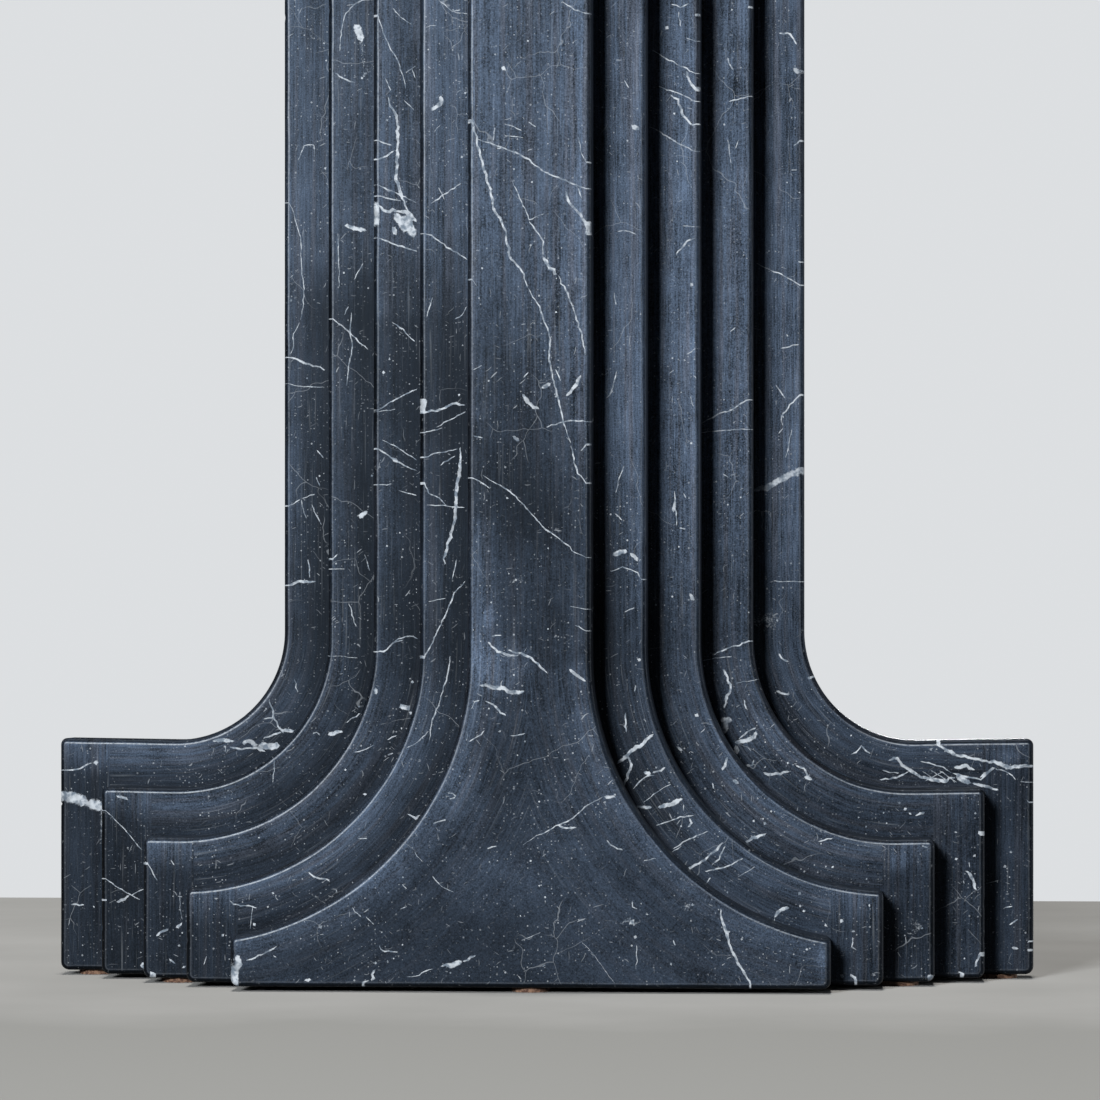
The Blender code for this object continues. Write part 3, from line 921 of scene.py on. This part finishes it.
# Patches of haze on a slab: column, row, half width and half height in pixels, and how much they add
HAZE_PATCHES = {
    4: [(500, 665, 40, 32, 0.045), (468, 805, 24, 50, 0.035), (490, 882, 62, 38, 0.030),
        (489, 618, 8, 18, 0.040), (822, 965, 8, 24, 0.045)],
    3: [(640, 560, 20, 60, 0.030)],
    2: [(899, 862, 13, 13, 0.060), (902, 915, 60, 80, -0.036)],
    1: [(200, 815, 85, 30, 0.045)],
    0: [(170, 762, 105, 26, 0.034), (300, 710, 25, 40, 0.020), (1008, 757, 15, 9, 0.050)],
}

# Patterns of streaks along the outline: how dense they are across and along, and their detail
FINE_STREAKS = (800, 14, 3)
SHORT_STREAKS = (1100, 90, 3)
BROAD_STREAKS = (130, 6, 3)
PALE_STREAKS = (1000, 22, 2)
WARM_STREAKS = (300, 9, 2)
STREAK_DEPTH = 0.6

# How much each pattern makes the haze vary
FINE_SHARE = 4.0
BROAD_SHARE = 1.9
MOTTLE_SHARE = 1.5
GRAIN_SHARE = 3.8

# The slabs are rubbed down round their outline: how far in, and by how much
CROWN_REACH = 0.012
CROWN_HEIGHT = 0.00022
STREAK_HEIGHT = 0.00025

# Layers of round specks: cells to a metre, how many cells hold one, their sizes in cells and their strength
DOTS = (
    (210.0, 0.10, 0.04, 0.12, 1.0),
    (520.0, 0.27, 0.08, 0.22, 0.55),
)

# Layers of short scratches: which way they run, the size of a cell, and how many cells hold one
FLECKS = (
    (0.6, (0.011, 0.0014, 1), 0.034),
    (-0.7, (0.008, 0.0012, 1), 0.034),
    (1.4, (0.013, 0.0013, 1), 0.026),
    (0.1, (0.007, 0.0012, 1), 0.030),
)
FLECK_STRENGTH = 0.6
BEND = (0.012, 0.012, 0.012)

# Hairlines are the cracks of a cell pattern, in patches: cells to a metre, width, and how rare they are
HAIRLINES = ((13.0, 0.0035, 0.54), (29.0, 0.0060, 0.57))
HAIRLINE_STRENGTH = 0.22


class Marble(Graph):
    """Honed black marble whose fine streaks follow the outline of a slab."""

    def __init__(self, step):
        super().__init__(f"marble_{step}")
        self.step = step
        self.spot = self.place()
        self.x, self.y, self.z = self.split(self.spot)
        self.measure_outline()
        fine = (self.streaks(*FINE_STREAKS) + self.streaks(*SHORT_STREAKS)) * 0.5
        fine = (fine - 0.5) * self.fade + 0.5
        haze_and_painted_light = self.varied(self.haze_and_painted_light(), fine)
        # The arrises add painted shade to the haze, and a painted highlight line to the pale marks
        haze_and_painted_light, pale = self.arris_wear_and_painted_light(haze_and_painted_light, self.pale_marks())
        warmth = self.ramp(self.streaks(*WARM_STREAKS), 0.46, 0.66, 0.0, 0.45) * self.fade
        stone = self.mix(haze_and_painted_light, BLACK, self.mix(warmth, STONE, WARM_STONE))
        colour = self.mix(pale, stone, WHITE_VEIN)
        vein_colour = self.mix(self.ramp(self.noise(self.spot, 300, 3), 0.35, 0.6), GREY_VEIN, WHITE_VEIN)
        colour = self.mix(self.veins(), colour, vein_colour)
        self.shade({
            "Base Color": colour,
            "Roughness": fine * STREAK_ROUGHNESS + (MARBLE_ROUGHNESS - STREAK_ROUGHNESS / 2),
            "Normal": self.surface(fine),
            "Specular IOR Level": SHEEN_LEVEL,
            "Specular Tint": SHEEN,
        })

    def measure_outline(self):
        """How far a point lies in from the outline, a length that changes across the streaks, which
        stand upright at the wings' ends, and how much the streaks fade away from the outline."""
        centre = sweep_centre(self.step)
        aside = abs(self.x)
        gap_x = self.largest(centre.x - aside, 0.0)
        gap_z = self.largest(centre.y - self.z, 0.0)
        self.across = self.math("SQRT", gap_x * gap_x + gap_z * gap_z)
        self.inwards = self.across - sweep_radius(self.step)
        self.fade = self.ramp(self.inwards, 0.035, 0.090, 1.0, 0.25)
        if self.step < STEPS_EACH_WAY:
            at_end = self.math("GREATER_THAN", aside, half_width(self.step + 1))
            self.across += at_end * (aside - self.across)
            self.fade = self.largest(self.fade, at_end)
        else:
            self.fade *= self.ramp(self.z, 0.05, 0.18, 0.5, 1.0)

    def streaks(self, fine, coarse, detail):
        along = self.z * coarse + self.y * (fine * STREAK_DEPTH)
        return self.noise(self.vector(self.across * fine, self.x * coarse, along), 1.0, detail, 0.6)

    def haze_and_painted_light(self):
        """The haze on the stone: pale high up, further down on the right than on the left, and dark below.
        Towards the outline it is paler, the low haze more than the high and most on the left: a painted
        highlight for the light that the rounded edges catch."""
        def height(on_axis, slope, least, most):
            return self.clamp(self.x * slope + on_axis, least, most)

        drift = (self.noise(self.spot, 7, 4, 0.6) - 0.5) * HAZE_DRIFT
        shifted = self.z + drift + RISE_SHIFT[self.step]
        rise = self.ramp(shifted, height(*HAZE_START), height(*HAZE_FULL))
        low = self.ramp(self.noise(self.spot, 5 + self.step, 4, 0.6), 0.42, 0.66, *LOW_HAZE)
        low += self.ramp(self.z, *FOOT_HEIGHTS, 0.0, FOOT_HAZE[self.step])
        pixel = pixel_size(self.step)
        for column, row, half_wide, half_high, added in HAZE_PATCHES.get(self.step, ()):
            centre_x, centre_z = on_face(self.step, column, row)
            off_x = (self.x - centre_x) / (half_wide * pixel)
            off_z = (self.z - centre_z) / (half_high * pixel)
            away = self.math("SQRT", off_x * off_x + off_z * off_z) + drift * 4.0
            low += self.ramp(away, 1.15, 0.3, 0.0, added)

        # Painted highlight: paler towards the outline, the low haze most on the left, where the rounded
        # edges catch the light
        wide = self.ramp(self.inwards, *WIDE_RIM_HIGHLIGHT)
        narrow = self.ramp(self.inwards, *NARROW_RIM_HIGHLIGHT)
        at_left = self.ramp(self.x, -0.02, 0.04, 1.0, 0.35)
        inner_share = 0.9 if self.step == STEPS_EACH_WAY else 0.5
        low *= (wide * 1.5 + narrow * 1.4) * at_left + inner_share
        high = (wide * 0.25 + narrow * 0.5 + 0.88) * HIGH_HAZE
        return (low + rise * (high - low)) * self.ramp(self.x, -0.02, 0.02, *SIDE_HAZE[self.step])

    def varied(self, haze_and_painted_light, fine):
        """The haze and its painted highlight, with streaks, clouds and grain."""
        broad = (self.streaks(*BROAD_STREAKS) - 0.5) * self.fade
        vary = (fine - 0.5) * FINE_SHARE + broad * BROAD_SHARE
        vary += (self.noise(self.spot, 45, 4, 0.65) - 0.5) * MOTTLE_SHARE
        vary += (self.noise(self.spot, 1200, 3, 0.7) - 0.5) * GRAIN_SHARE
        return self.largest(haze_and_painted_light * (vary + 1.0), LEAST_HAZE)

    def dots(self, flat, scale, presence, smallest, largest, strength):
        """Round pale specks of chance sizes."""
        distance, chance, brightness = self.cells(flat, scale)
        near = self.math("LESS_THAN", distance, self.ramp(chance, 0.0, presence, largest, smallest))
        chosen = self.math("LESS_THAN", chance, presence)
        return near * chosen * (brightness ** 2.5 * 0.88 + 0.12) * strength

    def flecks(self, flat, turn, size, presence):
        """Short pale scratches that all run one way."""
        turned = self.value("ShaderNodeMapping", {"Vector": flat, "Rotation": (0, 0, turn), "Scale": size},
                            vector_type="TEXTURE")
        distance, chance, brightness = self.cells(turned, 1.0)
        chosen = self.math("LESS_THAN", chance, presence)
        return self.ramp(distance, 0.20, 0.12) * chosen * (brightness ** 2.5 * 0.92 + 0.08) * FLECK_STRENGTH

    def pale_marks(self):
        """Specks, short scratches, thin pale streaks and hairlines."""
        # A plane that no face stands square to, and two bent spaces for lines that aren't straight
        flat = self.vector(self.y * 0.6 + (self.x + 1.7 * self.step), self.y * 0.9 + self.z, 0.0)
        sway = self.value("ShaderNodeTexNoise", {"Vector": self.spot, "Scale": 60.0}, "Color")
        push = self.vector_math("MULTIPLY", sway, BEND)
        bent = self.vector_math("ADD", self.spot, push)
        bent_flat = self.vector_math("ADD", flat, push)

        marks = [self.dots(flat, *layer) for layer in DOTS]
        marks += [self.flecks(bent_flat, *layer) for layer in FLECKS]
        marks.append(self.ramp(self.streaks(*PALE_STREAKS), 0.58, 0.76, 0.0, 0.12) * self.fade)
        crowd = self.ramp(self.noise(self.spot, 24, 3), 0.40, 0.60, 0.35, 1.0)
        pale = self.largest(*marks) * crowd
        for scale, width, rarity in HAIRLINES:
            crack = self.value("ShaderNodeTexVoronoi", {"Vector": bent, "Scale": scale}, "Distance",
                               feature="DISTANCE_TO_EDGE")
            patch = self.ramp(self.noise(self.spot, scale * 0.9, 2), rarity, rarity + 0.08)
            hairline = self.ramp(crack, width, width * 0.3, 0.0, HAIRLINE_STRENGTH)
            pale = self.largest(pale, hairline * patch)
        return pale

    def stored(self, name):
        return self.value("ShaderNodeAttribute", output="Fac", attribute_name=name)

    def veins(self):
        """How much of the vein shows: ragged at its edges and worn in places."""
        vein = self.stored("vein")
        ragged = (self.noise(self.spot, 900, 3, 0.65) - 0.5) * 0.55
        solid = self.ramp(vein + ragged, 0.40, 0.60) * self.ramp(vein, 0.02, 0.2)
        return solid * self.ramp(self.noise(self.spot, 160, 2), 0.3, 0.62, 0.6, 1.0)

    def arris_wear_and_painted_light(self, haze_and_painted_light, pale):
        """A painted highlight line along the face's edge, most where it looks up and left, with pale worn
        nibbles and painted shade on the arris beyond it, and painted shade near edges that look right.
        """
        arris = self.stored("arris")
        lit = self.stored("lit")
        rim = self.stored("rim")
        wear = self.noise(self.spot, 420, 3, 0.7)
        beyond = self.ramp(arris, 0.03, 0.24)
        # Painted shade: darker near the edges that look right, and on the whole arris beyond the line
        turned = self.ramp(lit, 0.0, -0.6) * self.ramp(rim, 0.0, 1.0)
        haze_and_painted_light *= 1.0 - turned * 0.5
        haze_and_painted_light *= 1.0 - beyond * self.ramp(lit, 0.0, -0.8, 0.82, 0.5)
        nibbled = self.ramp(wear, 0.62, 0.70) * beyond * 0.14
        # Painted highlight: a pale line where the face's edge catches the light, uneven with the wear
        line = self.ramp(rim, 0.40, 0.95) * self.ramp(arris, 0.12, 0.03) * self.clamp(lit, 0.08, 1.0)
        line *= self.ramp(wear, 0.30, 0.60, 0.35, 1.0) * 0.75
        return haze_and_painted_light, self.largest(pale * (1.0 - beyond), nibbled, line)

    def surface(self, fine):
        """Faces that rubbing down has left slightly rounded towards their outline, with fine streaks."""
        crown = self.ramp(self.inwards, 0.0, CROWN_REACH)
        rounded = self.value("ShaderNodeBump", {"Strength": 1.0, "Distance": CROWN_HEIGHT, "Height": crown})
        return self.value("ShaderNodeBump", {"Strength": 0.2, "Distance": STREAK_HEIGHT, "Height": fine,
                                             "Normal": rounded})


DARK_CORK = (0.10, 0.045, 0.03, 1)
PALE_CORK = (0.38, 0.22, 0.14, 1)
CORK_ROUGHNESS = 0.85


def cork():
    graph = Graph("cork")
    grain = graph.ramp(graph.noise(graph.place(), 500, 4, 0.6), 0.35, 0.65)
    graph.shade({"Base Color": graph.mix(grain, DARK_CORK, PALE_CORK), "Roughness": CORK_ROUGHNESS})
    return graph.material


def add_slabs():
    for step in range(STEPS_EACH_WAY + 1):
        material = Marble(step).material
        names = ["middle"] if step == 0 else [f"front_{step}", f"back_{step}"]
        for name in names:
            at_back = name.startswith("back")
            seed = 100 * step + 10 * at_back + 3
            strokes = grown_strokes(step, SLAB_FOOT if at_back else PHOTO_TOP, seed)
            if not at_back:
                strokes += drawn_strokes(step)
            piece = slab_piece(f"marble_{name}", step, 1 if at_back else -1, strokes, seed)
            piece.data.materials.append(material)
            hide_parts(f"slab_{name}")
            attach(piece, "root")


def dress_pads():
    material = cork()
    for name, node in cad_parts.items():
        if name.startswith("pad_"):
            node.data.materials.clear()
            node.data.materials.append(material)


# Area lights: place, target, size and power
LIGHT_COLOUR = (0.92, 0.96, 1.0)
AREA_LIGHTS = {
    "key": ((-1.55, -4.76, 1.8), (0, 0, 0.3), (1.15, 1.0), 240),
    "back": ((0, 5.0, 0.5), (0, 0, 0.45), (1.15, 0.7), 90),
    "side": ((4.8, 1.2, 0.5), (0, 0, 0.45), (1.15, 0.7), 36),
}
SUN_ENERGY = 1.5
SUN_ANGLE = math.radians(4)
SUN_COLOUR = (1.0, 0.98, 0.95)

# The studio round the column, as it looks and as it lights
STUDIO_COLOUR = (0.80, 0.82, 0.84, 1)
STUDIO_STRENGTH = 0.9
FILL_COLOUR = (0.75, 0.85, 1.0, 1)
FILL_STRENGTH = 0.022


def add_light(name, kind):
    data = bpy.data.lights.new(name, kind)
    light = bpy.data.objects.new(name, data)
    bpy.context.scene.collection.objects.link(light)
    return light


def add_lights():
    for name, (place, target, size, power) in AREA_LIGHTS.items():
        light = add_light(name, "AREA")
        light.data.shape = "RECTANGLE"
        light.data.size, light.data.size_y = size
        light.data.energy = power
        light.data.color = LIGHT_COLOUR
        light.location = place
        light.rotation_euler = (Vector(target) - Vector(place)).to_track_quat("-Z", "Y").to_euler()
    sun = add_light("above", "SUN").data
    sun.energy = SUN_ENERGY
    sun.angle = SUN_ANGLE
    sun.color = SUN_COLOUR


def add_studio():
    world = bpy.data.worlds.new("studio")
    world.use_nodes = True
    tree = world.node_tree
    seen = tree.nodes["Background"]
    seen.inputs["Color"].default_value = STUDIO_COLOUR
    seen.inputs["Strength"].default_value = STUDIO_STRENGTH
    fill = tree.nodes.new("ShaderNodeBackground")
    fill.inputs["Color"].default_value = FILL_COLOUR
    fill.inputs["Strength"].default_value = FILL_STRENGTH
    path = tree.nodes.new("ShaderNodeLightPath")
    choice = tree.nodes.new("ShaderNodeMixShader")
    tree.links.new(path.outputs["Is Camera Ray"], choice.inputs[0])
    tree.links.new(fill.outputs[0], choice.inputs[1])
    tree.links.new(seen.outputs[0], choice.inputs[2])
    tree.links.new(choice.outputs[0], tree.nodes["World Output"].inputs["Surface"])
    bpy.context.scene.world = world


# The floor, with a painted shadow that makes it a little darker in front of the column
FLOOR_REACH_FRONT = 0.9
FLOOR_REACH_BACK = 0.81
FLOOR_REACH_ASIDE = 1.5
FLOOR_DARK = (0.42, 0.415, 0.395, 1)
FLOOR_PALE = (0.59, 0.58, 0.56, 1)
FLOOR_PAINTED_SHADOW = (-0.52, -0.20, -0.9, 0.0)


def add_floor():
    mesh = bpy.data.meshes.new("floor")
    sides = (-FLOOR_REACH_ASIDE, FLOOR_REACH_ASIDE)
    corners = [(x, -FLOOR_REACH_FRONT, 0) for x in sides] + [(x, FLOOR_REACH_BACK, 0) for x in sides[::-1]]
    mesh.from_pydata(corners, [], [(0, 1, 2, 3)])
    graph = Graph("floor")
    place = graph.place()
    # Painted shadow: the floor's colour runs darker in front of the column
    shade = graph.ramp(graph.split(place)[1], *FLOOR_PAINTED_SHADOW)
    share = graph.clamp(graph.noise(place, 6, 4) + shade, 0.0, 1.0)
    graph.shade({
        "Base Color": graph.mix(share, FLOOR_DARK, FLOOR_PALE),
        "Roughness": 1.0,
        "Specular IOR Level": 0.0,
    })
    mesh.materials.append(graph.material)
    floor = bpy.data.objects.new("floor", mesh)
    bpy.context.scene.collection.objects.link(floor)
    floor.visible_diffuse = False


add_camera()
add_slabs()
dress_pads()
add_floor()
add_lights()
add_studio()
bpy.context.scene.view_settings.view_transform = "Standard"
